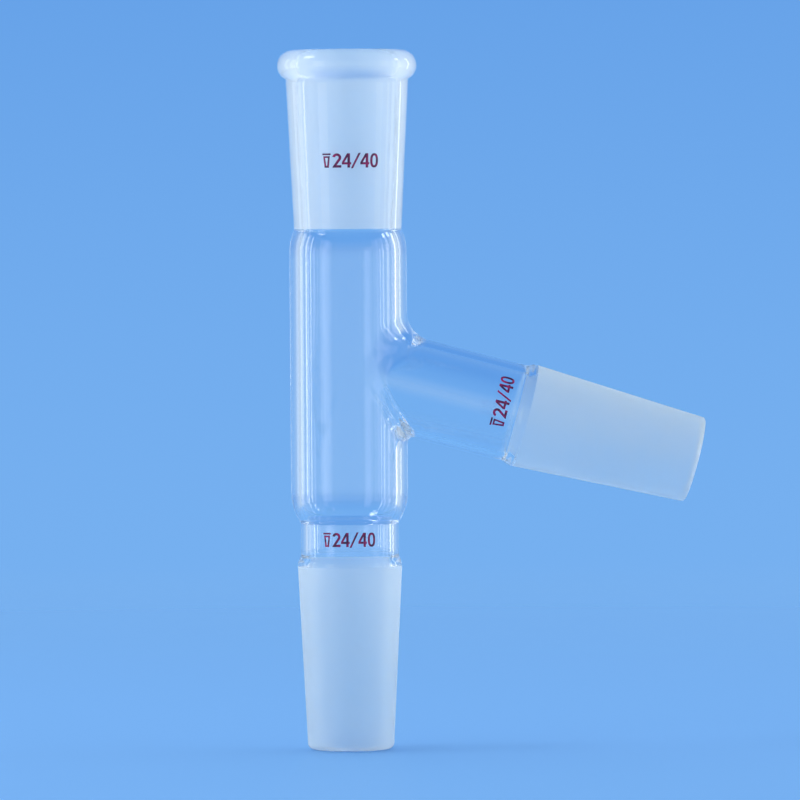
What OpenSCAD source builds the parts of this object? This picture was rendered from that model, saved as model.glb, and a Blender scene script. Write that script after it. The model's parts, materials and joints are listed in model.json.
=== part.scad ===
// Distillation head: one piece of blown borosilicate glass.
// A vertical body has a ground socket on top, a ground cone below and a side arm
// that slopes down to a second ground cone. All three joints have the same taper.
// Millimetres. +Z runs up the main axis, +X towards the side arm, and the origin is
// the centre of the lower cone's tip.

/* [Ground joints] */
// Diameter at the large end of every ground zone
joint_d = 24; // [20:0.5:34]
// Length of every ground zone
joint_len = 40; // [28:1:50]
// Diameter lost over each millimetre of length
joint_taper = 0.1; // [0.08:0.01:0.12]

/* [Lower cone] */
// Length from the ground zone's small end to the tip
lower_tip = 2.2; // [1.5:0.1:4]
// Rounding of the tip's outer edge
lower_tip_round = 1.4; // [0.4:0.1:1.5]
// Length of the clear neck between the ground zone and the body
neck_len = 10; // [7:0.5:20]

/* [Body] */
// Length from the neck to the socket, with both shoulders
body_len = 67.5; // [56:0.5:100]
// How far the body's surface stands out from the neck's
body_swell = 2.2; // [1.5:0.1:6]
// Wall of the body
body_wall = 2.3; // [1.6:0.1:3.2]
// Slope of the lower shoulder, from the main axis
lower_shoulder_angle = 30; // [20:1:60]
// Rounding where the lower shoulder meets the body
lower_shoulder_round = 12.8; // [2:0.2:16]
// Slope of the upper shoulder, from the main axis
upper_shoulder_angle = 25; // [15:1:60]
// Rounding where the upper shoulder meets the body
upper_shoulder_round = 15; // [2:0.5:20]
// Rounding where the neck meets the lower shoulder
neck_round = 0.8; // [0.2:0.1:1.2]
// Rounding where the upper shoulder meets the socket
socket_round = 1; // [0.2:0.1:1.4]
// Rounding of the bore at both ends of the body
bore_round = 1.5; // [0.2:0.1:3]

/* [Top socket] */
// Wall of the socket at its small end
socket_wall = 2.4; // [1.6:0.1:3]
// Height of the rim above the ground zone's large end
rim_rise = 1.2; // [1:0.1:3]
// Radius of the rounded bead's section
bead_r = 3.6; // [2.6:0.1:4.4]
// How far the bead stands out from the ground zone's large end
bead_out = 4.1; // [3.4:0.1:6]
// Rounding of the rim's inner edge
rim_round = 0.6; // [0.2:0.1:0.8]

/* [Side arm] */
// Angle between the side arm and the lower half of the main axis
arm_angle = 75; // [60:1:90]
// Height of the arm's root above the middle of the body
arm_offset = 1.5; // [-6:0.2:6]
// Length from the main axis to the large end of the arm's ground zone
arm_reach = 42.1; // [36:0.1:80]
// Length from the ground zone's small end to the arm's tip
arm_tip = 0.6; // [0.4:0.1:4]
// Rounding of the arm tip's outer edge
arm_tip_round = 0.8; // [0.3:0.1:1.4]

/* [Clear tube] */
// How far the clear tube stands back from the ground zone's large end
tube_step = 0.7; // [0.2:0.1:2]
// Length over which the tube swells to the ground zone
flare_len = 2.2; // [2:0.2:6]
// Length between that swell and the ground zone
flare_gap = 0.6; // [0.1:0.1:1]
// Wall of the neck and the side arm
tube_wall = 1.5; // [1.2:0.1:2.2]
// Wall of both cones at their tips
tip_wall = 1.9; // [1.4:0.1:2.4]
// Rounding of both tips' inner edges
tip_inner_round = 0.3; // [0.1:0.1:0.5]
// Rounding of the bore where a cone's bore meets the tube's
cone_bore_round = 2; // [0.5:0.5:5]

/* [Fused root of the side arm] */
// Length of the upper fillet along the arm
root_top_arm = 6; // [2:0.5:8]
// Height of the upper fillet on the body
root_top_body = 5; // [2:0.5:9]
// Length of the lower fillet, along the arm and on the body
root_bottom = 2.5; // [1:0.5:4]
// Length of the side fillets along the arm
root_side = 2.5; // [1:0.5:5]

/* [Fineness] */
// Largest turn between two points of an arc, in degrees
arc_step = 9; // [4:1:15]
// Sides of the fused root
root_sides = 36; // [24:4:48]
// Steps along each fillet of the fused root
root_steps = 5; // [3:1:6]

/* [Hidden] */
$fn = 96;

past = 1;             // how far a bore runs past the glass, so that it cuts through
socket_foot = 0.2;    // height of the ground zone's small end above the upper shoulder
flare_points = 8;
mouth_steps = 5;
most_rounded = 0.99;  // share of a straight stretch that the roundings at its ends may use
root_sink = 0.4;      // how far the root's edges run on inside the walls that they join
root_flat = 0.3;      // 0 is a round fillet and 1 a flat one; over 0 it meets the walls at an angle
root_core = 5;        // radius of the root's flat ends, hidden inside the bores
root_start = 2;       // where the root starts, from the main axis
root_end_back = 6;    // how far before the arm's ground zone it ends
root_side_rise = 0.7; // share of the body's wall beside the arm that the side fillets climb
root_widest = 0.94;   // share of the body's radius past which no fillet reaches
root_least_sine = 0.01;

// Radii
joint_r = joint_d / 2;
small_r = joint_r - joint_len * joint_taper / 2;
tube_r = joint_r - tube_step;
tube_in = tube_r - tube_wall;
body_r = tube_r + body_swell;
body_in = body_r - body_wall;
socket_r = small_r + socket_wall;
bead_centre_r = joint_r + bead_out - bead_r;

// Heights on the main axis
lower_large_z = lower_tip + joint_len;
neck_top_z = lower_large_z + neck_len;
body_top_z = neck_top_z + body_len;
socket_small_z = body_top_z + socket_foot;
socket_large_z = socket_small_z + joint_len;
rim_z = socket_large_z + rim_rise;
bead_z = rim_z - bead_r;
arm_z = neck_top_z + body_len / 2 + arm_offset;
arm_end = arm_reach + joint_len + arm_tip;
arm_slope = 90 - arm_angle;

function unit(v) = v / norm(v);
function radius_at(from_large) = joint_r - from_large * joint_taper / 2;

// Half the angle at a path's point between the ways to its neighbours.
function half_angle(path, i) =
    let (p = path[i], a = unit(xy(path[i - 1]) - xy(p)), b = unit(xy(path[i + 1]) - xy(p)))
    acos(max(-1, min(1, a * b))) / 2;

function xy(p) = [p[0], p[1]];

// Length of path that a point's rounding asks for, on each side of it.
function wanted(path, i) =
    (i == 0 || i == len(path) - 1 || path[i][2] == 0) ? 0 : path[i][2] / tan(half_angle(path, i));

// Share of the rounding that fits beside the roundings of the two neighbours.
function share_that_fits(path, i) =
    let (
        before = norm(xy(path[i]) - xy(path[i - 1])) / (wanted(path, i - 1) + wanted(path, i)),
        after = norm(xy(path[i + 1]) - xy(path[i])) / (wanted(path, i) + wanted(path, i + 1))
    )
    min(1, most_rounded * before, most_rounded * after);

// One point of a path, as the points of the arc that rounds it.
function rounded_point(path, i) =
    wanted(path, i) == 0 ? [xy(path[i])] :
    let (
        half = half_angle(path, i),
        r = path[i][2] * share_that_fits(path, i),
        to_last = unit(xy(path[i - 1]) - xy(path[i])),
        to_next = unit(xy(path[i + 1]) - xy(path[i])),
        centre = xy(path[i]) + unit(to_last + to_next) * r / sin(half),
        start = xy(path[i]) + to_last * r / tan(half) - centre,
        end = xy(path[i]) + to_next * r / tan(half) - centre,
        a = atan2(start.y, start.x),
        turn = (atan2(end.y, end.x) - a + 540) % 360 - 180,
        steps = max(2, ceil(abs(turn) / arc_step))
    )
    [for (k = [0:steps]) centre + r * [cos(a + turn * k / steps), sin(a + turn * k / steps)]];

// A path of [radius, height, rounding] as plain points.
function rounded(path) = [for (i = [0:len(path) - 1]) each rounded_point(path, i)];

// A soft swell from radius a at height p to radius b at height q.
function swell(a, p, b, q) =
    [for (k = [0:flare_points])
        let (s = k / flare_points) [a + (b - a) * (1 - cos(180 * s)) / 2, p + (q - p) * s, 0]];

// Where the socket's outer wall runs into the bead.
function bead_start() =
    let (
        d = unit([joint_taper / 2, 1]),
        from_centre = [socket_r, socket_small_z] - [bead_centre_r, bead_z],
        along = from_centre * d
    )
    from_centre + d * (-along - sqrt(along * along - from_centre * from_centre + bead_r * bead_r));

function bead_arc() =
    let (s = bead_start(), a = atan2(s.y, s.x), steps = ceil((90 - a) / arc_step))
    [for (k = [0:steps])
        let (t = a + (90 - a) * k / steps)
        [bead_centre_r + bead_r * cos(t), bead_z + bead_r * sin(t), 0]];

// Outside of the cone, from its tip back to the clear tube. The tip is at height 0.
function cone_outside(tip, tip_round) =
    let (large = joint_len + tip, flare = large + flare_gap)
    [
        [0, 0, 0], [radius_at(large), 0, tip_round], [joint_r, large, 0],
        each swell(joint_r, flare, tube_r, flare + flare_len)
    ];

// The rounded mouth of a bore of radius r at height z, from its edge inwards. The bore
// runs down from it if way is -1 and up if way is 1.
function mouth(r, z, size, way) =
    [for (k = [0:mouth_steps])
        let (a = 90 * k / mouth_steps) [r + size * (1 - sin(a)), z + way * size * (1 - cos(a)), 0]];

function backwards(path) = [for (i = [len(path) - 1:-1:0]) path[i]];

// Bore of the cone, from past its tip back to the clear tube.
function cone_bore(large) =
    let (tip_in = small_r - tip_wall)
    [
        [0, -past, 0], [tip_in + tip_inner_round, -past, 0],
        each mouth(tip_in, 0, tip_inner_round, 1),
        [tube_in, large, cone_bore_round]
    ];

// Heights at which the outer lines of the two shoulders reach a radius. The bore's lines
// lie inside them by an inset that gives the wall its mean thickness.
lower_slope = tan(lower_shoulder_angle);
upper_slope = tan(upper_shoulder_angle);
lower_inset = (body_wall + tube_wall) / 2 / cos(lower_shoulder_angle);
upper_inset = (body_wall + socket_wall) / 2 / cos(upper_shoulder_angle);
function lower_shoulder_z(r, inset = 0) = neck_top_z + (r + inset - tube_r) / lower_slope;
function upper_shoulder_z(r, inset = 0) = body_top_z - (r + inset - socket_r) / upper_slope;

module main_outside() {
    rotate_extrude()
    polygon(rounded(concat(
        cone_outside(lower_tip, lower_tip_round),
        [
            [tube_r, neck_top_z, neck_round],
            [body_r, lower_shoulder_z(body_r), lower_shoulder_round],
            [body_r, upper_shoulder_z(body_r), upper_shoulder_round],
            [socket_r, body_top_z, socket_round]
        ],
        bead_arc(),
        [[0, rim_z, 0]]
    )));
}

module main_bore() {
    rim_in = radius_at(rim_round - rim_rise);
    rotate_extrude()
    polygon(rounded(concat(
        cone_bore(lower_large_z),
        [
            [tube_in, lower_shoulder_z(tube_in, lower_inset), bore_round],
            [body_in, lower_shoulder_z(body_in, lower_inset), lower_shoulder_round - body_wall],
            [body_in, upper_shoulder_z(body_in, upper_inset), upper_shoulder_round - body_wall],
            [small_r, upper_shoulder_z(small_r, upper_inset), bore_round],
            [small_r, socket_small_z, 0]
        ],
        backwards(mouth(rim_in, rim_z, rim_round, -1)),
        [[rim_in + rim_round, rim_z + past, 0], [0, rim_z + past, 0]]
    )));
}

// Puts what is drawn with its tip at height 0 at the end of the side arm.
module at_arm_tip() {
    translate([0, 0, arm_z])
    rotate([0, 90 + arm_slope, 0])
    translate([0, 0, arm_end])
    mirror([0, 0, 1])
    children();
}

module arm_outside() {
    at_arm_tip()
    rotate_extrude()
    polygon(rounded(concat(
        cone_outside(arm_tip, arm_tip_round),
        [[tube_r, arm_end, 0], [0, arm_end, 0]]
    )));
}

module arm_bore() {
    at_arm_tip()
    rotate_extrude()
    polygon(rounded(concat(
        cone_bore(joint_len + arm_tip),
        [[tube_in, arm_end, 0], [0, arm_end, 0]]
    )));
}

// The fused root blends a pipe of radius pipe into a body of radius wall. Each of its
// fillets lies in a half plane through the arm's axis, at the angle a from the top.
// There, u runs along the arm's axis and v away from it.
function blend(a, top, side, bottom) =
    side + (top - side) * pow(max(0, cos(a)), 2) + (bottom - side) * pow(max(0, -cos(a)), 2);

function wall_x(a, v, wall) = sqrt(wall * wall - pow(v * sin(a), 2));

function wall_u(a, v, wall) = (wall_x(a, v, wall) - v * cos(a) * sin(arm_slope)) / cos(arm_slope);

function wall_slope(a, v, wall) =
    (-v * pow(sin(a), 2) / wall_x(a, v, wall) - cos(a) * sin(arm_slope)) / cos(arm_slope);

function fillet(a, pipe, wall, along, up) =
    let (
        v = min(pipe + up, root_widest * wall / max(abs(sin(a)), root_least_sine)),
        on_wall = [wall_u(a, v, wall), v],
        meet = [on_wall[0] - (v - pipe) * wall_slope(a, v, wall), pipe],
        on_pipe = [meet[0] + along, pipe],
        corner = meet + ((on_wall + on_pipe) / 2 - meet) * root_flat,
        start = on_wall - unit(corner - on_wall) * root_sink,
        end = on_pipe + unit(on_pipe - corner) * root_sink
    )
    [for (k = [0:root_steps])
        let (s = k / root_steps)
        (1 - s) * (1 - s) * start + 2 * s * (1 - s) * corner + s * s * end];

// One ring of the root: its two flat ends and the fillet between them.
function root_ring(a, pipe, wall, grow_top, grow_bottom) =
    let (
        along = blend(a, root_top_arm + grow_top, root_side, root_bottom + grow_bottom),
        up_side = root_side_rise * (wall - pipe),
        up = blend(a, root_top_body + grow_top, up_side, root_bottom + grow_bottom)
    )
    [
        [root_start, root_core],
        each fillet(a, pipe, wall, along, up),
        [arm_reach - root_end_back, root_core]
    ];

// From u along the arm and v away from it, at the angle a, to the head's own axes.
function from_arm(p, a) = [
    p[0] * cos(arm_slope) + p[1] * cos(a) * sin(arm_slope),
    p[1] * sin(a),
    arm_z - p[0] * sin(arm_slope) + p[1] * cos(a) * cos(arm_slope)
];

// The inner root's fillets are longer than the outer one's by what the wall adds.
module root(pipe, wall, depth) {
    grow_top = depth * tan(arm_angle / 2);
    grow_bottom = depth * tan(90 - arm_angle / 2);
    last = root_sides - 1;
    n = root_steps + 3;
    points = [
        for (i = [0:last])
        let (a = 360 * i / root_sides)
        for (p = root_ring(a, pipe, wall, grow_top, grow_bottom)) from_arm(p, a)
    ];
    faces = [
        for (i = [0:last], k = [0:n - 2])
            let (j = (i + 1) % root_sides)
            each [
                [i * n + k, j * n + k + 1, i * n + k + 1],
                [i * n + k, j * n + k, j * n + k + 1]
            ],
        [for (i = [0:last]) i * n + n - 1],
        [for (i = [0:last]) (last - i) * n]
    ];
    polyhedron(points, faces, convexity = 6);
}

module distillation_head() {
    color([0.82, 0.91, 0.98, 0.45])
    difference() {
        union() {
            main_outside();
            arm_outside();
            root(tube_r, body_r, 0);
        }
        union() {
            main_bore();
            arm_bore();
            root(tube_in, body_in, (tube_wall + body_wall) / 2);
        }
    }
}

distillation_head();
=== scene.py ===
"""A laboratory distillation head, blown from borosilicate glass.

The glass is one closed shell: its outside, its bores, and the fused root of the side arm.
The two cones and the inside of the socket are ground matt, and all three joints carry a
size mark in red enamel. Lengths are in metres, +Z runs up the main axis and +X points
towards the side arm.
"""
import json
import math

import bmesh
import bpy
import numpy as np
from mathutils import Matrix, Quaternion, Vector


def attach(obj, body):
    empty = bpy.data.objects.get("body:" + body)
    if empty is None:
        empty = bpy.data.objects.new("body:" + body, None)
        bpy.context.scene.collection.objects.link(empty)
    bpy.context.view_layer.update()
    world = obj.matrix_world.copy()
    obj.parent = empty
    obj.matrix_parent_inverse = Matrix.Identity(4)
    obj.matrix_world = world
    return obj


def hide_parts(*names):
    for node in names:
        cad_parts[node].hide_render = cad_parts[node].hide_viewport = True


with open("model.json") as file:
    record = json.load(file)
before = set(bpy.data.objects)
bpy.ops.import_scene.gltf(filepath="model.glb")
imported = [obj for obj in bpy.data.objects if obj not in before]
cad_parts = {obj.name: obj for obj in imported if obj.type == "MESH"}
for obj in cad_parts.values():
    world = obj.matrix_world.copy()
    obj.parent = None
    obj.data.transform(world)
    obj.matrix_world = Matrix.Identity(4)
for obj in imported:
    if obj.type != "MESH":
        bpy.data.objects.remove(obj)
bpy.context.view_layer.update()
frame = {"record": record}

MM = 0.001
NODE = "distillation_head"

# ---------------------------------------------------------------- driving dimensions

MOUNTS = {mount["name"]: mount for mount in frame["record"]["mounts"]}

# The three ground joints
JOINT_R = 12 * MM
JOINT_LEN = 40 * MM
JOINT_SLOPE = 0.05
LOWER_TIP = 2.2 * MM
LOWER_TIP_ROUND = 1.4 * MM
ARM_TIP = 0.6 * MM
ARM_TIP_ROUND = 0.8 * MM
TIP_INNER_ROUND = 0.3 * MM
TIP_FLAT = 0.05 * MM
ARM_TIP_IN = 0.04 * MM
RIM_RISE = 1.2 * MM
SOCKET_FOOT = 0.2 * MM

# The clear tube, the body and the socket
TUBE_R = 11.3 * MM
TUBE_WALL = 1.5 * MM
TIP_WALL = 1.9 * MM
BODY_R = 13.5 * MM
BODY_WALL = 2.3 * MM
SOCKET_R = 12.4 * MM
NECK_LEN = 10 * MM
FLARE_GAP = 0.6 * MM
FLARE_LEN = 2.2 * MM
FLARE_STEPS = 8
CONE_BORE_ROUND = 2 * MM
LOWER_SHOULDER_SLOPE = math.tan(math.radians(30))
UPPER_SHOULDER_SLOPE = math.tan(math.radians(25))
LOWER_SHOULDER_ROUND = 12.8 * MM
UPPER_SHOULDER_ROUND = 15 * MM
NECK_ROUND = 0.8 * MM
SOCKET_ROUND = 1 * MM
BORE_ROUND = 1.5 * MM
BEAD_R = 3.57 * MM
BEAD_INSET = 3.6 * MM
BEAD_OUT = 4.1 * MM
BEAD_END = math.radians(87)
RIM_ROUND = 0.6 * MM
MOST_ROUNDED = 0.99

# Places on the main axis
RIM_Z = MOUNTS["top_socket"]["pos_m"][2]
LOWER_LARGE_Z = LOWER_TIP + JOINT_LEN
NECK_TOP_Z = LOWER_LARGE_Z + NECK_LEN
SOCKET_LARGE_Z = RIM_Z - RIM_RISE
SOCKET_SMALL_Z = SOCKET_LARGE_Z - JOINT_LEN
BODY_TOP_Z = SOCKET_SMALL_Z - SOCKET_FOOT
TUBE_IN = TUBE_R - TUBE_WALL
BODY_IN = BODY_R - BODY_WALL
SMALL_R = JOINT_R - JOINT_LEN * JOINT_SLOPE

# The side arm's axis, from the main axis to the arm's tip
ARM_END = np.array(MOUNTS["arm_cone"]["pos_m"])
ARM_WAY = np.array(MOUNTS["arm_cone"]["axis"])
ARM_WAY = ARM_WAY / np.linalg.norm(ARM_WAY)
ARM_LEN = ARM_END[0] / ARM_WAY[0]
ARM_ROOT = ARM_END - ARM_LEN * ARM_WAY
ARM_UP = np.array([-ARM_WAY[2], 0.0, ARM_WAY[0]])
ARM_SIDE = np.array([0.0, 1.0, 0.0])

# The fused root of the side arm: fillets at its top, sides and bottom
ROOT_OUTSIDE = (4.8 * MM, 0.8 * MM, 1.6 * MM)
ROOT_INSIDE = (4.6 * MM, 0.8 * MM, 0.6 * MM)
ROOT_ARM_END = 25 * MM
ROOT_LOW_Z = NECK_TOP_Z + 13.2 * MM
ROOT_HIGH_Z = BODY_TOP_Z - 12.3 * MM

# Rounds of evening out the root's grid and of settling it, and the step that feels its slope
EVENING_ROUNDS = 60
SETTLING_ROUNDS = 6
FEEL_STEP = 0.001 * MM

# Fineness of the glass shell
COLUMNS = 120
ROOT_COLUMNS = 52
ROOT_ROWS = 42
ROOT_EDGE = 2 * (ROOT_COLUMNS + ROOT_ROWS)
WELD = 1e-7
RING_STEP = 1.25 * MM
ARC_STEP = math.radians(6)
BODY_STEPS = 12
ARM_STEPS = 14

# The two finishes of the glass
CLEAR = 0
GROUND = 1

# The enamel size marks, and where they sit: their middle along the glass and their turn round it
MARK_HEIGHT = 3.25 * MM
MARK_STROKE = 0.56 * MM
MARK_RAISE = 0.05 * MM
MARK_SINK = 0.03 * MM
MARK_CUT = 0.5 * MM
MARK_WELD = 1e-6
MARK_WIDTH = 12.4 * MM
SOCKET_MARK_UP = 15.6 * MM
SOCKET_MARK_TURN = math.radians(-89.2)
NECK_MARK_DOWN = 3.5 * MM
NECK_MARK_TURN = math.radians(-93.2)
ARM_MARK_ALONG = 35.5 * MM
ARM_MARK_TURN = math.radians(11)

# How often light may turn inside the glass before it is lost
MOST_BOUNCES = 200

# The table top, and how far from the head it fades into the backdrop
FLOOR_R = 1.0
FLOOR_BELOW = 0.2 * MM
FADE_START = 0.1
FADE_END = 0.9

# The lamps: name, turn in degrees round the head from the viewer's side, height, distance,
# (width, height) and brightness. Tall strips stand beside and behind the head, broad soft ones
# before it, and two small ones hang above.
LAMP_LOW = 0.12
LAMP_RAISED = 0.2
LAMP_AIM = (0.01, 0, 0.085)
LAMPS = (
    ("left_strip", -93, LAMP_LOW, 1.0, (0.055, 0.9), 5.2),
    ("left_broad", -105, LAMP_LOW, 1.0, (0.17, 0.9), 1.3),
    ("left_back_strip", -123, LAMP_LOW, 1.0, (0.16, 0.9), 0.8),
    ("left_front", -50, LAMP_RAISED, 1.0, (0.33, 0.7), 1.1),
    ("right_strip", 120, LAMP_LOW, 1.0, (0.09, 0.9), 3.0),
    ("right_side", 96, LAMP_LOW, 1.0, (0.14, 0.9), 1.6),
    ("right_narrow", 82.5, LAMP_LOW, 1.0, (0.09, 0.9), 1.2),
    ("right_front", 62, LAMP_RAISED, 1.0, (0.25, 0.7), 0.8),
    ("high_left", -84, 0.82, 0.72, (0.28, 0.24), 9),
    ("high_right", 94, 0.55, 0.88, (0.12, 0.12), 9),
)

# The backdrop: the rise over which it darkens, the turn away from straight behind over which it
# pales towards the sides, and the rise at which that paleness ends
DARKER_FROM = -0.06
DARKER_TO = 0.1
PALE_ALL = math.radians(54)
PALE_NONE = math.radians(6)
PALE_UNDER = 0.2
PALE_ENDS = 0.5

# The camera: where it stands round the head, and where it looks
SENSOR_MM = 36
LENS_MM = 291
CAMERA_DISTANCE = 1.49
CAMERA_HEIGHT = 0.1194
CAMERA_TURN = math.radians(2.5)
CAMERA_AIM = math.radians(0.4526)
CAMERA_DIP = math.radians(1.5)
CAMERA_ROLL = math.radians(0.37)


# ---------------------------------------------------------------- outlines

def radius_at(from_large):
    """Radius of a ground joint at a distance from its large end."""
    return JOINT_R - from_large * JOINT_SLOPE


def unit(v):
    """The same way, one long."""
    return v / np.linalg.norm(v)


def half_angle(before, at, after):
    """Half the angle at a point between the ways to its neighbours."""
    cosine = float(unit(before - at) @ unit(after - at))
    return math.acos(max(-1.0, min(1.0, cosine))) / 2


def arc_points(before, at, after, radius):
    """The arc of a radius that rounds a corner."""
    half = half_angle(before, at, after)
    to_before = unit(before - at)
    to_after = unit(after - at)
    centre = at + unit(to_before + to_after) * radius / math.sin(half)
    start = at + to_before * radius / math.tan(half) - centre
    turn = math.pi - 2 * half
    if start[0] * to_after[1] - start[1] * to_after[0] < 0:
        turn = -turn
    steps = max(3, math.ceil(abs(turn) / ARC_STEP))
    angles = math.atan2(start[1], start[0]) + turn * np.arange(steps + 1) / steps
    return [centre + radius * np.array([math.cos(a), math.sin(a)]) for a in angles]


def outline(corners):
    """Corners of (radius, height, rounding, finish) as points and the finish of each stretch.

    Where two roundings need more of the stretch between them than there is, both shrink.
    """
    places = [np.array(corner[:2]) for corner in corners]
    stretches = [np.linalg.norm(b - a) for a, b in zip(places[:-1], places[1:])]
    wanted = [0.0] * len(corners)
    for i in range(1, len(corners) - 1):
        if corners[i][2]:
            half = half_angle(places[i - 1], places[i], places[i + 1])
            wanted[i] = corners[i][2] / math.tan(half)
    points = []
    finishes = []
    for i, (_, _, rounding, finish) in enumerate(corners):
        arc = [places[i]]
        if wanted[i]:
            before = MOST_ROUNDED * stretches[i - 1] / (wanted[i - 1] + wanted[i])
            after = MOST_ROUNDED * stretches[i] / (wanted[i] + wanted[i + 1])
            radius = rounding * min(1.0, before, after)
            arc = arc_points(places[i - 1], places[i], places[i + 1], radius)
        points += arc
        finishes += [finish] * len(arc)
    return points, finishes[:-1]


def fine(points, finishes):
    """Adds points so that no stretch is longer than a ring's step."""
    out_points = [points[0]]
    out_finishes = []
    for a, b, finish in zip(points[:-1], points[1:], finishes):
        steps = max(1, math.ceil(np.linalg.norm(b - a) / RING_STEP))
        for k in range(1, steps + 1):
            out_points.append(a + (b - a) * k / steps)
            out_finishes.append(finish)
    return out_points, out_finishes


def swell(r0, z0, r1, z1):
    """A soft swell from one radius to another."""
    corners = []
    for k in range(FLARE_STEPS + 1):
        s = k / FLARE_STEPS
        r = r0 + (r1 - r0) * (1 - math.cos(math.pi * s)) / 2
        corners.append((r, z0 + (z1 - z0) * s, 0, CLEAR))
    return corners


def tip_flat_r():
    """Radius of the middle of the narrow flat at a cone's tip."""
    return SMALL_R - TIP_WALL + TIP_INNER_ROUND + TIP_FLAT


def cone_outside(tip, tip_round):
    """Outside of a ground cone, from its tip, at height 0, back to the clear tube."""
    large = JOINT_LEN + tip
    return [
        (tip_flat_r() + TIP_FLAT, 0, 0, CLEAR),
        (radius_at(large), 0, tip_round, GROUND),
        (SMALL_R, tip, 0, GROUND),
        (JOINT_R, large, 0, CLEAR),
        *swell(JOINT_R, large + FLARE_GAP, TUBE_R, large + FLARE_GAP + FLARE_LEN),
    ]


def cone_inside(large):
    """Bore of a ground cone, from the clear tube out to its tip."""
    return [
        (TUBE_IN, large, CONE_BORE_ROUND, CLEAR),
        (SMALL_R - TIP_WALL, 0, TIP_INNER_ROUND, CLEAR),
        (tip_flat_r(), 0, 0, CLEAR),
    ]


def bead_outside():
    """The rounded bead, from the socket's wall to the crest of the rim."""
    centre = np.array([JOINT_R + BEAD_OUT - BEAD_INSET, RIM_Z - BEAD_INSET])
    along = unit(np.array([JOINT_SLOPE, 1.0]))
    wall = np.array([SOCKET_R, SOCKET_SMALL_Z]) - centre
    back = float(wall @ along)
    start = wall + along * (-back - math.sqrt(back * back - float(wall @ wall) + BEAD_R * BEAD_R))
    first = math.atan2(start[1], start[0])
    steps = math.ceil((BEAD_END - first) / ARC_STEP)
    angles = [first + (BEAD_END - first) * k / steps for k in range(steps + 1)]
    return [
        (centre[0] + BEAD_R * math.cos(a), centre[1] + BEAD_R * math.sin(a), 0, CLEAR)
        for a in angles
    ]


def shoulder_heights(r, inset_low=0.0, inset_high=0.0):
    """Heights at which the lower and upper shoulders reach a radius."""
    low = NECK_TOP_Z + (r + inset_low - TUBE_R) / LOWER_SHOULDER_SLOPE
    high = BODY_TOP_Z - (r + inset_high - SOCKET_R) / UPPER_SHOULDER_SLOPE
    return low, high


def main_outline():
    """The head's outline round the main axis, in the four runs that the root's openings leave."""
    low, high = shoulder_heights(BODY_R)
    below = cone_outside(LOWER_TIP, LOWER_TIP_ROUND) + [
        (TUBE_R, NECK_TOP_Z, NECK_ROUND, CLEAR),
        (BODY_R, low, LOWER_SHOULDER_ROUND, CLEAR),
        (BODY_R, ROOT_LOW_Z, 0, CLEAR),
    ]
    bead = bead_outside()
    above = [
        (BODY_R, ROOT_HIGH_Z, 0, CLEAR),
        (BODY_R, high, UPPER_SHOULDER_ROUND, CLEAR),
        (SOCKET_R, BODY_TOP_Z, SOCKET_ROUND, CLEAR),
        *bead,
    ]
    inset_low = (BODY_WALL + TUBE_WALL) / 2 * math.sqrt(1 + LOWER_SHOULDER_SLOPE ** 2)
    inset_high = (BODY_WALL + SOCKET_R - SMALL_R) / 2 * math.sqrt(1 + UPPER_SHOULDER_SLOPE ** 2)
    in_low, in_high = shoulder_heights(BODY_IN, inset_low, inset_high)
    neck_high = shoulder_heights(TUBE_IN, inset_low, inset_high)[0]
    socket_low = shoulder_heights(SMALL_R, inset_low, inset_high)[1]
    rim_in = radius_at(-RIM_RISE)
    crest = bead[-1][1]
    down = [
        (rim_in + RIM_ROUND, crest, 0, CLEAR),
        (rim_in, crest, RIM_ROUND, CLEAR),
        (JOINT_R, SOCKET_LARGE_Z, 0, GROUND),
        (SMALL_R, SOCKET_SMALL_Z, 0, CLEAR),
        (SMALL_R, socket_low, BORE_ROUND, CLEAR),
        (BODY_IN, in_high, UPPER_SHOULDER_ROUND - BODY_WALL, CLEAR),
        (BODY_IN, ROOT_HIGH_Z, 0, CLEAR),
    ]
    up_to_tip = [
        (BODY_IN, ROOT_LOW_Z, 0, CLEAR),
        (BODY_IN, in_low, LOWER_SHOULDER_ROUND - BODY_WALL, CLEAR),
        (TUBE_IN, neck_high, BORE_ROUND, CLEAR),
        *cone_inside(LOWER_LARGE_Z),
    ]
    return below, above, down, up_to_tip


# ---------------------------------------------------------------- the fused root

def blend_radius(points, root):
    """Fillet radius at each point, by its angle round the arm's axis."""
    top, side, bottom = root
    away = points - ARM_ROOT
    up = away @ ARM_UP
    across = away @ ARM_SIDE
    cosine = up / np.maximum(np.hypot(up, across), 1e-9)
    upper = np.maximum(cosine, 0) ** 2
    lower = np.maximum(-cosine, 0) ** 2
    return side + (top - side) * upper + (bottom - side) * lower


def joined_distance(points, wall, pipe, root):
    """Distance to the body's wall and the arm's pipe, rounded together where they meet."""
    away = points - ARM_ROOT
    to_wall = np.hypot(points[:, 0], points[:, 1]) - wall
    to_pipe = np.hypot(away @ ARM_UP, away @ ARM_SIDE) - pipe
    radius = blend_radius(points, root)
    corner = np.hypot(np.maximum(radius - to_wall, 0), np.maximum(radius - to_pipe, 0))
    return np.maximum(radius, np.minimum(to_wall, to_pipe)) - corner


def settle(points, wall, pipe, root, rounds=SETTLING_ROUNDS):
    """Moves points onto the joined surface."""
    for _ in range(rounds):
        value = joined_distance(points, wall, pipe, root)
        slope = np.stack(
            [
                joined_distance(points + FEEL_STEP * axis, wall, pipe, root)
                - joined_distance(points - FEEL_STEP * axis, wall, pipe, root)
                for axis in np.eye(3)
            ],
            axis=1,
        ) / (2 * FEEL_STEP)
        points = points - slope * (value / np.maximum((slope ** 2).sum(axis=1), 1e-6))[:, None]
    return points


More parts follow.
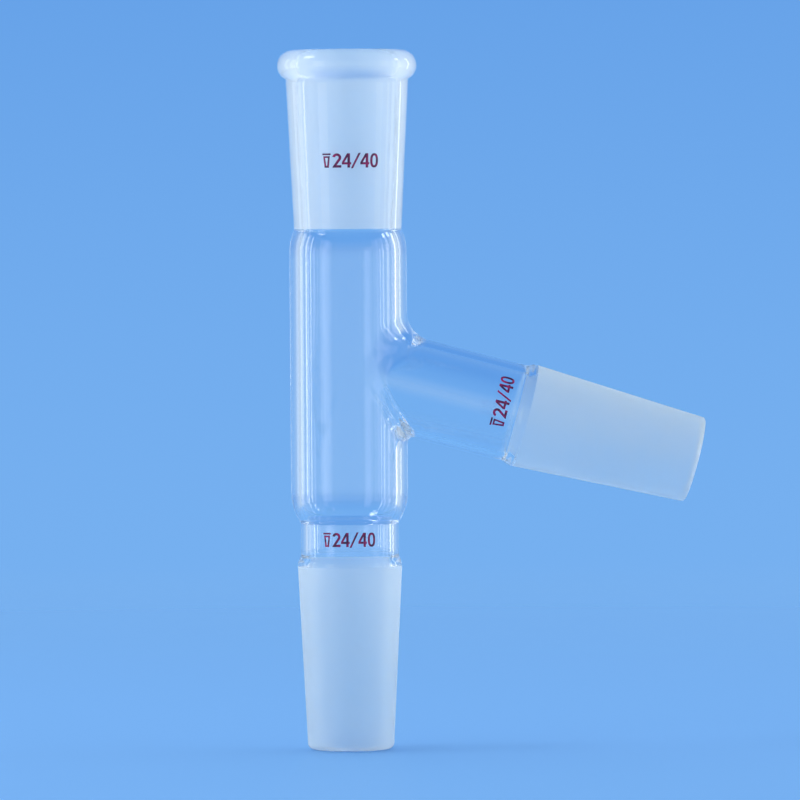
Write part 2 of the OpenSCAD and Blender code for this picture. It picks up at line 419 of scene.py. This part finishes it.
def edge_cells():
    """Column and row of each point round the edge of the root's opening, from its top middle."""
    half = ROOT_COLUMNS // 2
    cells = [(c, ROOT_ROWS) for c in range(0, half)]
    cells += [(half, r) for r in range(ROOT_ROWS, 0, -1)]
    cells += [(c, 0) for c in range(half, -half, -1)]
    cells += [(-half, r) for r in range(0, ROOT_ROWS)]
    cells += [(c, ROOT_ROWS) for c in range(-half, 0)]
    return cells


def root_grid(wall, pipe, root):
    """Points from the opening's edge in the body out along the arm: (edge point, step, xyz)."""
    cells = np.array(edge_cells())
    angle = 2 * math.pi * np.arange(ROOT_EDGE) / ROOT_EDGE
    up = pipe * np.cos(angle)
    across = pipe * np.sin(angle)
    depth = np.sqrt(wall ** 2 - across ** 2)
    meet = (depth - up * ARM_UP[0]) / ARM_WAY[0]
    meet_turn = np.arctan2(across, depth)
    meet_z = ARM_ROOT[2] + meet * ARM_WAY[2] + up * ARM_UP[2]
    edge_turn = cells[:, 0] * 2 * math.pi / COLUMNS
    edge_z = ROOT_LOW_Z + (ROOT_HIGH_Z - ROOT_LOW_Z) * cells[:, 1] / ROOT_ROWS
    rows = []
    for k in range(BODY_STEPS):
        s = k / BODY_STEPS
        turn = edge_turn + (meet_turn - edge_turn) * s
        z = edge_z + (meet_z - edge_z) * s
        rows.append(np.stack([wall * np.cos(turn), wall * np.sin(turn), z], axis=1))
    for k in range(ARM_STEPS + 1):
        s = k / ARM_STEPS
        along = meet + (ROOT_ARM_END - meet) * s
        rows.append(
            ARM_ROOT
            + along[:, None] * ARM_WAY
            + up[:, None] * ARM_UP
            + across[:, None] * ARM_SIDE
        )
    grid = np.stack(rows, axis=1)
    for _ in range(EVENING_ROUNDS):
        middle = (np.roll(grid, 1, axis=0) + np.roll(grid, -1, axis=0))[:, 1:-1]
        middle = (middle + grid[:, :-2] + grid[:, 2:]) / 4
        moved = settle(middle.reshape(-1, 3), wall, pipe, root, rounds=1)
        grid[:, 1:-1] = moved.reshape(middle.shape)
    inner = grid[:, 1:-1]
    grid[:, 1:-1] = settle(inner.reshape(-1, 3), wall, pipe, root).reshape(inner.shape)
    return grid


# ---------------------------------------------------------------- the glass shell

class Shell:
    """Collects the points and four-sided faces of one closed mesh."""

    def __init__(self):
        self.points = []
        self.faces = []
        self.finishes = []

    def add(self, points):
        """Adds a ring of points and gives their numbers back."""
        first = len(self.points)
        self.points.extend(tuple(map(float, p)) for p in points)
        return list(range(first, len(self.points)))

    def band(self, ring, following, finish, skip=()):
        """Faces between two closed rings of points, apart from the skipped columns."""
        count = len(ring)
        for c in range(count):
            if c not in skip:
                d = (c + 1) % count
                self.faces.append((ring[c], ring[d], following[d], following[c]))
                self.finishes.append(finish)

    def bands(self, rings, finishes):
        """A run of bands, one between each ring and the following."""
        for ring, following, finish in zip(rings[:-1], rings[1:], finishes):
            self.band(ring, following, finish)


def turned_ring(shell, point):
    """One ring round the main axis."""
    angle = 2 * math.pi * np.arange(COLUMNS) / COLUMNS
    r, z = point
    return shell.add(zip(r * np.cos(angle), r * np.sin(angle), np.full(COLUMNS, z)))


def arm_ring(shell, r, along):
    """One ring round the arm's axis."""
    angle = 2 * math.pi * np.arange(ROOT_EDGE) / ROOT_EDGE
    up = (r * np.cos(angle))[:, None] * ARM_UP
    across = (r * np.sin(angle))[:, None] * ARM_SIDE
    return shell.add(ARM_ROOT + along * ARM_WAY + up + across)


def turned_run(shell, corners):
    """Rings along a run of the outline, and the finish of each band between them."""
    points, finishes = fine(*outline(corners))
    return [turned_ring(shell, p) for p in points], finishes


def opened_rows(shell, r, first, last):
    """The rows of the body that the root's opening cuts, from one ring to another."""
    going_up = shell.points[last[0]][2] > shell.points[first[0]][2]
    heights = np.linspace(shell.points[first[0]][2], shell.points[last[0]][2], ROOT_ROWS + 1)
    rings = [first] + [turned_ring(shell, (r, z)) for z in heights[1:-1]] + [last]
    half = ROOT_COLUMNS // 2
    skip = {c % COLUMNS for c in range(-half, half)}
    for ring, following in zip(rings[:-1], rings[1:]):
        shell.band(ring, following, CLEAR, skip)
    return rings if going_up else rings[::-1]


def root_surface(shell, rows, wall, pipe, root, inside):
    """Joins the opening in the body to the first ring of the arm, and gives that ring back."""
    edge = [rows[row][column % COLUMNS] for column, row in edge_cells()]
    grid = root_grid(wall, pipe, root)
    rings = [edge] + [shell.add(grid[:, k]) for k in range(1, grid.shape[1])]
    if inside:
        rings = rings[::-1]
    shell.bands(rings, [CLEAR] * (len(rings) - 1))
    return rings[0] if inside else rings[-1]


def arm_runs():
    """Rings along the arm's axis: outside to the tip, and inside back from it."""
    out_points, out_finishes = fine(*outline(cone_outside(ARM_TIP, ARM_TIP_ROUND)))
    back_points, back_finishes = fine(*outline(cone_inside(JOINT_LEN + ARM_TIP)))
    reach = ARM_LEN - ARM_TIP_IN
    out_rings = [(r, reach - z) for r, z in reversed(out_points)]
    back_rings = [(r, reach - z) for r, z in reversed(back_points)]
    out_reach = np.arange(ROOT_ARM_END + RING_STEP, out_rings[0][1] - RING_STEP / 2, RING_STEP)
    back_reach = np.arange(ROOT_ARM_END + RING_STEP, back_rings[-1][1] - RING_STEP / 2, RING_STEP)
    out_rings = [(TUBE_R, along) for along in out_reach] + out_rings
    back_rings += [(TUBE_IN, along) for along in reversed(back_reach)]
    out_finishes = [CLEAR] * (len(out_reach) + 1) + out_finishes[::-1]
    back_finishes = back_finishes[::-1] + [CLEAR] * (len(back_reach) + 1)
    return out_rings, out_finishes, back_rings, back_finishes


def glass_object(shell, materials):
    """The shell as one smooth object, with its finishes as materials."""
    mesh = bpy.data.meshes.new("glass_head")
    mesh.from_pydata(shell.points, [], shell.faces)
    for material in materials:
        mesh.materials.append(material)
    mesh.polygons.foreach_set("material_index", shell.finishes)
    tidy = bmesh.new()
    tidy.from_mesh(mesh)
    bmesh.ops.remove_doubles(tidy, verts=tidy.verts, dist=WELD)
    bmesh.ops.recalc_face_normals(tidy, faces=tidy.faces)
    tidy.to_mesh(mesh)
    tidy.free()
    mesh.polygons.foreach_set("use_smooth", [True] * len(mesh.polygons))
    mesh.validate()
    mesh.update()
    glass = bpy.data.objects.new("glass_head", mesh)
    bpy.context.scene.collection.objects.link(glass)
    return glass


def build_glass(materials):
    """The whole head: outside, bores, arm, and the fused root between them."""
    shell = Shell()
    below, above, down, up_to_tip = main_outline()

    low_rings, low_finishes = turned_run(shell, below)
    high_rings, high_finishes = turned_run(shell, above)
    shell.bands(low_rings, low_finishes)
    shell.bands(high_rings, high_finishes)
    outer_rows = opened_rows(shell, BODY_R, low_rings[-1], high_rings[0])

    down_rings, down_finishes = turned_run(shell, down)
    tip_rings, tip_finishes = turned_run(shell, up_to_tip)
    shell.bands(down_rings, down_finishes)
    shell.bands(tip_rings, tip_finishes)
    inner_rows = opened_rows(shell, BODY_IN, down_rings[-1], tip_rings[0])
    shell.band(high_rings[-1], down_rings[0], CLEAR)
    shell.band(tip_rings[-1], low_rings[0], CLEAR)

    out, out_finishes, back, back_finishes = arm_runs()
    first = root_surface(shell, outer_rows, BODY_R, TUBE_R, ROOT_OUTSIDE, inside=False)
    out_rings = [first] + [arm_ring(shell, *place) for place in out]
    shell.bands(out_rings, out_finishes)
    last = root_surface(shell, inner_rows, BODY_IN, TUBE_IN, ROOT_INSIDE, inside=True)
    back_rings = [arm_ring(shell, *place) for place in back] + [last]
    shell.bands(back_rings, back_finishes)
    shell.band(out_rings[-1], back_rings[0], CLEAR)
    return glass_object(shell, materials)


# ---------------------------------------------------------------- materials

def srgb(red, green, blue):
    """A colour written as sRGB numbers from 0 to 255."""
    def linear(c):
        c /= 255
        return c / 12.92 if c <= 0.04045 else ((c + 0.055) / 1.055) ** 2.4
    return (linear(red), linear(green), linear(blue), 1.0)


BACKDROP = srgb(118, 176, 240)
BACKDROP_HIGH = srgb(94, 155, 229)
FLOOR = srgb(120, 176, 234)
SIDE_SKY = srgb(205, 225, 245)
SOFT_LIGHT = (0.80, 0.93, 1.0, 1)
FRONT_LIGHT = 0.4
SIDE_LIGHT = 1.05
ENAMEL = srgb(72, 6, 58)
ENAMEL_THIN = srgb(176, 18, 92)


def node(tree, kind, place=(0, 0), **inputs):
    """Adds a shader node and sets its inputs by name, with underscores for spaces."""
    made = tree.nodes.new(kind)
    made.location = place
    for name, value in inputs.items():
        made.inputs[name.replace("_", " ")].default_value = value
    return made


def ramp(tree, place, start, end, low=0.0, high=1.0, smooth=False):
    """Adds a node that turns the stretch from start to end into low to high."""
    made = node(tree, "ShaderNodeMapRange", place)
    if smooth:
        made.interpolation_type = "SMOOTHSTEP"
    for name, value in (("From Min", start), ("From Max", end), ("To Min", low), ("To Max", high)):
        made.inputs[name].default_value = value
    return made


def blend(tree, place, a=None, b=None):
    """Adds a node that mixes two colours."""
    made = node(tree, "ShaderNodeMix", place)
    made.data_type = "RGBA"
    if a:
        made.inputs["A"].default_value = a
    if b:
        made.inputs["B"].default_value = b
    return made


def calculation(tree, kind, place):
    """Adds a node that works on two numbers."""
    made = node(tree, "ShaderNodeMath", place)
    made.operation = kind
    return made


def new_material(name):
    """An empty material with its output node."""
    material = bpy.data.materials.new(name)
    material.use_nodes = True
    tree = material.node_tree
    tree.nodes.clear()
    output = node(tree, "ShaderNodeOutputMaterial", (900, 0))
    return material, tree, output


def let_lamps_through(tree, output, shader, share):
    """Lets a share of the lamps' light pass straight through the glass."""
    path = node(tree, "ShaderNodeLightPath", (450, 300))
    clear = node(tree, "ShaderNodeBsdfTransparent", (450, -200), Color=(share, share, share, 1))
    mix = node(tree, "ShaderNodeMixShader", (700, 0))
    tree.links.new(path.outputs["Is Shadow Ray"], mix.inputs[0])
    tree.links.new(shader.outputs[0], mix.inputs[1])
    tree.links.new(clear.outputs[0], mix.inputs[2])
    tree.links.new(mix.outputs[0], output.inputs["Surface"])


def clear_glass():
    """Fire-polished borosilicate glass, with the soft waves that a flame leaves."""
    material, tree, output = new_material("clear_glass")
    glass = node(
        tree, "ShaderNodeBsdfPrincipled", (150, 0),
        Base_Color=(0.985, 0.995, 1.0, 1), Roughness=0.0, IOR=1.473, Transmission_Weight=1.0,
    )
    where = node(tree, "ShaderNodeTexCoord", (-700, -200))
    waves = node(tree, "ShaderNodeTexNoise", (-450, -200), Scale=90.0, Detail=1.0, Roughness=0.4)
    bump = node(tree, "ShaderNodeBump", (-150, -200), Strength=0.35, Distance=0.00005)
    tree.links.new(where.outputs["Object"], waves.inputs["Vector"])
    tree.links.new(waves.outputs["Fac"], bump.inputs["Height"])
    tree.links.new(bump.outputs["Normal"], glass.inputs["Normal"])
    let_lamps_through(tree, output, glass, 0.96)
    return material


def ground_glass():
    """Glass ground to a fine white matt."""
    material, tree, output = new_material("ground_glass")
    glass = node(
        tree, "ShaderNodeBsdfPrincipled", (150, 0),
        IOR=1.473, Transmission_Weight=0.66,
    )
    where = node(tree, "ShaderNodeTexCoord", (-950, 0))
    grain = node(tree, "ShaderNodeTexNoise", (-700, -250), Scale=9000.0, Detail=2.0, Roughness=0.6)
    cloud = node(tree, "ShaderNodeTexNoise", (-700, 100), Scale=180.0, Detail=3.0, Roughness=0.55)
    whiteness = blend(tree, (-200, 200), (0.88, 0.965, 1.0, 1), (0.95, 0.99, 1.0, 1))
    rough = ramp(tree, (-200, 0), 0.0, 1.0, 0.46, 0.56)
    bump = node(tree, "ShaderNodeBump", (-200, -250), Strength=0.25, Distance=0.00003)
    link = tree.links.new
    link(where.outputs["Object"], grain.inputs["Vector"])
    link(where.outputs["Object"], cloud.inputs["Vector"])
    link(cloud.outputs["Fac"], whiteness.inputs["Factor"])
    link(whiteness.outputs["Result"], glass.inputs["Base Color"])
    link(cloud.outputs["Fac"], rough.inputs["Value"])
    link(rough.outputs["Result"], glass.inputs["Roughness"])
    link(grain.outputs["Fac"], bump.inputs["Height"])
    link(bump.outputs["Normal"], glass.inputs["Normal"])
    let_lamps_through(tree, output, glass, 0.4)
    return material


def fired_enamel():
    """Dark red enamel, thinner and lighter in places."""
    material, tree, output = new_material("size_mark_enamel")
    paint = node(tree, "ShaderNodeBsdfPrincipled", (400, 0), Roughness=0.32)
    where = node(tree, "ShaderNodeTexCoord", (-500, 0))
    cover = node(tree, "ShaderNodeTexNoise", (-250, 0), Scale=900.0, Detail=2.0)
    spread = ramp(tree, (-50, 0), 0.38, 0.62)
    shade = blend(tree, (150, 0), ENAMEL, ENAMEL_THIN)
    link = tree.links.new
    link(where.outputs["Object"], cover.inputs["Vector"])
    link(cover.outputs["Fac"], spread.inputs["Value"])
    link(spread.outputs["Result"], shade.inputs["Factor"])
    link(shade.outputs["Result"], paint.inputs["Base Color"])
    link(paint.outputs[0], output.inputs["Surface"])
    return material


# ---------------------------------------------------------------- size marks

def figure_two(x, width):
    """A 2: an arc that runs down a slope to a foot."""
    r = width / 2
    inner = r - MARK_STROKE
    high = MARK_HEIGHT - r
    angles = np.radians(np.linspace(170, -38, 22))
    crown = [(x + r + r * math.cos(a), high + r * math.sin(a)) for a in angles]
    hollow = [(x + r + inner * math.cos(a), high + inner * math.sin(a)) for a in reversed(angles)]
    foot = [
        (x + 0.47 * width, MARK_STROKE),
        (x + width, MARK_STROKE),
        (x + width, 0),
        (x, 0),
        (x, 0.28 * MARK_STROKE),
    ]
    return [crown + foot + hollow]


def figure_four(x, width):
    """A 4: a stem, a bar and a slope, with a three-cornered opening."""
    left = x + 0.60 * width
    right = left + MARK_STROKE
    bar = 0.22 * MARK_HEIGHT
    top = bar + 0.9 * MARK_STROKE
    outside = [
        (left, 0), (right, 0), (right, bar), (x + width, bar), (x + width, top), (right, top),
        (right, MARK_HEIGHT), (left - 0.1 * MARK_STROKE, MARK_HEIGHT), (x, top), (x, bar), (left, bar),
    ]
    opening = [(x + 0.27 * width, top), (left, top), (left, 0.74 * MARK_HEIGHT)]
    return [outside, opening]


def figure_nought(x, width):
    """A 0: a tall ring."""
    squareness = 2.4
    rings = []
    for across, up in (
        (width / 2, MARK_HEIGHT / 2),
        (width / 2 - 0.9 * MARK_STROKE, MARK_HEIGHT / 2 - 0.9 * MARK_STROKE),
    ):
        ring = []
        for a in np.linspace(0, 2 * math.pi, 40, endpoint=False):
            c, s = math.cos(a), math.sin(a)
            ring.append((
                x + width / 2 + across * math.copysign(abs(c) ** (2 / squareness), c),
                MARK_HEIGHT / 2 + up * math.copysign(abs(s) ** (2 / squareness), s),
            ))
        rings.append(ring)
    return rings


def stroke_between(x, width):
    """The slanted stroke between the two sizes."""
    thick = 0.8 * MARK_STROKE
    return [[
        (x, -0.05 * MARK_HEIGHT),
        (x + thick, -0.05 * MARK_HEIGHT),
        (x + width, 1.03 * MARK_HEIGHT),
        (x + width - thick, 1.03 * MARK_HEIGHT),
    ]]


def taper_sign(x, width):
    """A plain sign for a taper: its outline under a bar."""
    thick = 0.7 * MARK_STROKE
    bar_low = MARK_HEIGHT - thick
    top = bar_low - 0.6 * thick
    wide = 0.40 * width
    narrow = 0.26 * width
    middle = x + width / 2
    bar = [(x, bar_low), (x + width, bar_low), (x + width, MARK_HEIGHT), (x, MARK_HEIGHT)]
    outside = [(middle - narrow, 0), (middle + narrow, 0), (middle + wide, top), (middle - wide, top)]
    opening = [
        (middle - narrow + thick, thick),
        (middle + narrow - thick, thick),
        (middle + wide - thick, top - thick),
        (middle - wide + thick, top - thick),
    ]
    return [bar, outside, opening]


def mark_outline():
    """The mark laid flat, as a thin filled mesh: each figure has its left edge and its width."""
    outlines = [
        *taper_sign(0, 1.85 * MM),
        *figure_two(2.25 * MM, 1.93 * MM),
        *figure_four(4.3 * MM, 2.0 * MM),
        *stroke_between(6.25 * MM, 2.1 * MM),
        *figure_four(8.3 * MM, 2.0 * MM),
        *figure_nought(10.54 * MM, 1.86 * MM),
    ]
    curve = bpy.data.curves.new("figures", "CURVE")
    curve.dimensions = "2D"
    curve.fill_mode = "BOTH"
    curve.extrude = (MARK_RAISE + MARK_SINK) / 2
    for points in outlines:
        spline = curve.splines.new("POLY")
        spline.points.add(len(points) - 1)
        for point, (x, y) in zip(spline.points, points):
            point.co = (x - MARK_WIDTH / 2, y - MARK_HEIGHT / 2, 0, 1)
        spline.use_cyclic_u = True
    figures = bpy.data.objects.new("figures", curve)
    bpy.context.scene.collection.objects.link(figures)
    bpy.context.view_layer.update()
    flat = bpy.data.meshes.new_from_object(figures)
    bpy.data.objects.remove(figures)
    return flat


def place_on_socket(u, v, raised):
    """A point of the socket's mark, u to the right and v up, on the socket's outside."""
    z = SOCKET_SMALL_Z + SOCKET_MARK_UP + v
    r = SOCKET_R + (z - SOCKET_SMALL_Z) * JOINT_SLOPE + raised
    turn = SOCKET_MARK_TURN + u / SOCKET_R
    return Vector((r * math.cos(turn), r * math.sin(turn), z))


def place_on_neck(u, v, raised):
    """A point of the neck's mark."""
    z = NECK_TOP_Z - NECK_MARK_DOWN + v
    r = TUBE_R + raised
    turn = NECK_MARK_TURN + u / TUBE_R
    return Vector((r * math.cos(turn), r * math.sin(turn), z))


def place_on_arm(u, v, raised):
    """A point of the arm's mark, which reads upwards across the arm."""
    along = ARM_MARK_ALONG - v
    r = TUBE_R + raised
    turn = ARM_MARK_TURN + u / TUBE_R
    spot = ARM_ROOT + along * ARM_WAY + r * (math.sin(turn) * ARM_UP - math.cos(turn) * ARM_SIDE)
    return Vector(spot)


def size_mark(name, flat, place, enamel):
    """Wraps the flat mark onto the glass."""
    mark = bmesh.new()
    mark.from_mesh(flat)
    cuts = int(MARK_WIDTH / 2 / MARK_CUT)
    for k in range(-cuts, cuts + 1):
        everything = list(mark.verts) + list(mark.edges) + list(mark.faces)
        bmesh.ops.bisect_plane(
            mark, geom=everything, plane_co=(k * MARK_CUT, 0, 0), plane_no=(1, 0, 0), dist=WELD
        )
    bmesh.ops.remove_doubles(mark, verts=mark.verts, dist=MARK_WELD)
    middle = (MARK_RAISE - MARK_SINK) / 2
    for v in mark.verts:
        v.co = place(v.co.x, v.co.y, v.co.z + middle)
    mesh = bpy.data.meshes.new(name)
    mark.to_mesh(mesh)
    mark.free()
    mesh.materials.append(enamel)
    made = bpy.data.objects.new(name, mesh)
    bpy.context.scene.collection.objects.link(made)
    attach(made, "root")


# ---------------------------------------------------------------- floor, light and camera

def floor_material():
    """A pale blue table that fades into the backdrop with distance."""
    material, tree, output = new_material("pale_floor")
    top = node(
        tree, "ShaderNodeBsdfPrincipled", (300, 0),
        Base_Color=FLOOR, Roughness=0.6, Specular_IOR_Level=0.2,
    )
    gone = node(tree, "ShaderNodeBsdfTransparent", (300, -300))
    where = node(tree, "ShaderNodeNewGeometry", (-500, 200))
    distance = node(tree, "ShaderNodeVectorMath", (-250, 200))
    distance.operation = "LENGTH"
    fade = ramp(tree, (0, 200), FADE_START, FADE_END, smooth=True)
    mix = node(tree, "ShaderNodeMixShader", (600, 0))
    link = tree.links.new
    link(where.outputs["Position"], distance.inputs[0])
    link(distance.outputs["Value"], fade.inputs["Value"])
    link(fade.outputs["Result"], mix.inputs[0])
    link(top.outputs[0], mix.inputs[1])
    link(gone.outputs[0], mix.inputs[2])
    link(mix.outputs[0], output.inputs["Surface"])
    return material


def lay_floor():
    """A round table top, a hair below the cone's tip."""
    disc = bmesh.new()
    bmesh.ops.create_circle(disc, cap_ends=True, radius=FLOOR_R, segments=96)
    mesh = bpy.data.meshes.new("floor")
    disc.to_mesh(mesh)
    disc.free()
    mesh.materials.append(floor_material())
    floor = bpy.data.objects.new("floor", mesh)
    floor.location = (0, 0, -FLOOR_BELOW)
    bpy.context.scene.collection.objects.link(floor)


def soft_lamp(name, turn, height, distance, size, brightness):
    """A rectangular soft lamp, turned round the head from the viewer's side, aimed at the body."""
    aim = Vector(LAMP_AIM)
    a = math.radians(turn)
    place = Vector((distance * math.sin(a), -distance * math.cos(a), height))
    data = bpy.data.lights.new(name, "AREA")
    data.shape = "RECTANGLE"
    data.size, data.size_y = size
    data.energy = brightness * math.pi * size[0] * size[1]
    lamp = bpy.data.objects.new(name, data)
    lamp.location = place
    lamp.rotation_euler = (aim - place).to_track_quat("-Z", "Y").to_euler()
    lamp.visible_camera = False
    bpy.context.scene.collection.objects.link(lamp)


def backdrop_colour(tree, split):
    """Blue behind the head, darker with height and paler towards the sides."""
    rise = ramp(tree, (-400, 0), DARKER_FROM, DARKER_TO, smooth=True)
    colour = blend(tree, (-200, 0), BACKDROP, BACKDROP_HIGH)
    aside = ramp(tree, (-400, 250), math.cos(PALE_NONE), math.cos(PALE_ALL))
    lower = ramp(tree, (-400, 500), PALE_UNDER, PALE_ENDS, 1.0, 0.0, smooth=True)
    share = calculation(tree, "MULTIPLY", (-200, 300))
    sky = blend(tree, (0, 100), b=SIDE_SKY)
    link = tree.links.new
    link(split.outputs["Z"], rise.inputs["Value"])
    link(rise.outputs["Result"], colour.inputs["Factor"])
    link(split.outputs["Y"], aside.inputs["Value"])
    link(split.outputs["Z"], lower.inputs["Value"])
    link(aside.outputs["Result"], share.inputs[0])
    link(lower.outputs["Result"], share.inputs[1])
    link(share.outputs[0], sky.inputs["Factor"])
    link(colour.outputs["Result"], sky.inputs["A"])
    return sky.outputs["Result"]


def make_world():
    """Shows the backdrop to the eye and through the glass, and gives soft light to all else."""
    world = bpy.data.worlds.new("studio")
    bpy.context.scene.world = world
    world.use_nodes = True
    tree = world.node_tree
    tree.nodes.clear()
    output = node(tree, "ShaderNodeOutputWorld", (900, 0))
    path = node(tree, "ShaderNodeLightPath", (-300, 700))
    seen = calculation(tree, "MAXIMUM", (0, 700))
    seen_all = calculation(tree, "MAXIMUM", (200, 700))
    where = node(tree, "ShaderNodeTexCoord", (-800, 0))
    split = node(tree, "ShaderNodeSeparateXYZ", (-600, 0))
    backdrop = node(tree, "ShaderNodeBackground", (300, 0), Strength=1.0)
    level = ramp(tree, (0, -200), -1.0, 0.0, FRONT_LIGHT, SIDE_LIGHT)
    light = node(tree, "ShaderNodeBackground", (300, -200), Color=SOFT_LIGHT)
    mix = node(tree, "ShaderNodeMixShader", (600, 0))
    link = tree.links.new
    link(path.outputs["Is Camera Ray"], seen.inputs[0])
    link(path.outputs["Is Glossy Ray"], seen.inputs[1])
    link(seen.outputs[0], seen_all.inputs[0])
    link(path.outputs["Is Transmission Ray"], seen_all.inputs[1])
    link(where.outputs["Generated"], split.inputs[0])
    link(backdrop_colour(tree, split), backdrop.inputs["Color"])
    link(split.outputs["Y"], level.inputs["Value"])
    link(level.outputs["Result"], light.inputs["Strength"])
    link(seen_all.outputs[0], mix.inputs[0])
    link(light.outputs[0], mix.inputs[1])
    link(backdrop.outputs[0], mix.inputs[2])
    link(mix.outputs[0], output.inputs["Surface"])


def set_camera():
    """A long lens a metre and a half away, a little above the middle of the head."""
    data = bpy.data.cameras.new("camera")
    data.sensor_width = SENSOR_MM
    data.lens = LENS_MM
    data.clip_start = 0.1
    data.clip_end = 20
    camera = bpy.data.objects.new("camera", data)
    camera.location = (
        -CAMERA_DISTANCE * math.sin(CAMERA_TURN),
        -CAMERA_DISTANCE * math.cos(CAMERA_TURN),
        CAMERA_HEIGHT,
    )
    heading = CAMERA_TURN + CAMERA_AIM
    look = Vector((math.sin(heading), math.cos(heading), -math.tan(CAMERA_DIP))).normalized()
    camera.rotation_mode = "QUATERNION"
    camera.rotation_quaternion = Quaternion(look, CAMERA_ROLL) @ look.to_track_quat("-Z", "Y")
    bpy.context.scene.collection.objects.link(camera)
    bpy.context.scene.camera = camera


# ---------------------------------------------------------------- assembly

def settings():
    """Plain colours, and room for light to turn inside the glass."""
    scene = bpy.context.scene
    scene.view_settings.view_transform = "Standard"
    scene.cycles.max_bounces = MOST_BOUNCES
    scene.cycles.transmission_bounces = MOST_BOUNCES
    scene.cycles.glossy_bounces = MOST_BOUNCES
    scene.cycles.transparent_max_bounces = MOST_BOUNCES


def main():
    """Light, table, glass and size marks."""
    settings()
    set_camera()
    for lamp in LAMPS:
        soft_lamp(*lamp)
    make_world()
    lay_floor()

    glass = build_glass([clear_glass(), ground_glass()])
    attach(glass, "root")
    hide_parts(NODE)

    enamel = fired_enamel()
    flat = mark_outline()
    size_mark("socket_size_mark", flat, place_on_socket, enamel)
    size_mark("neck_size_mark", flat, place_on_neck, enamel)
    size_mark("arm_size_mark", flat, place_on_arm, enamel)
    bpy.data.meshes.remove(flat)


main()
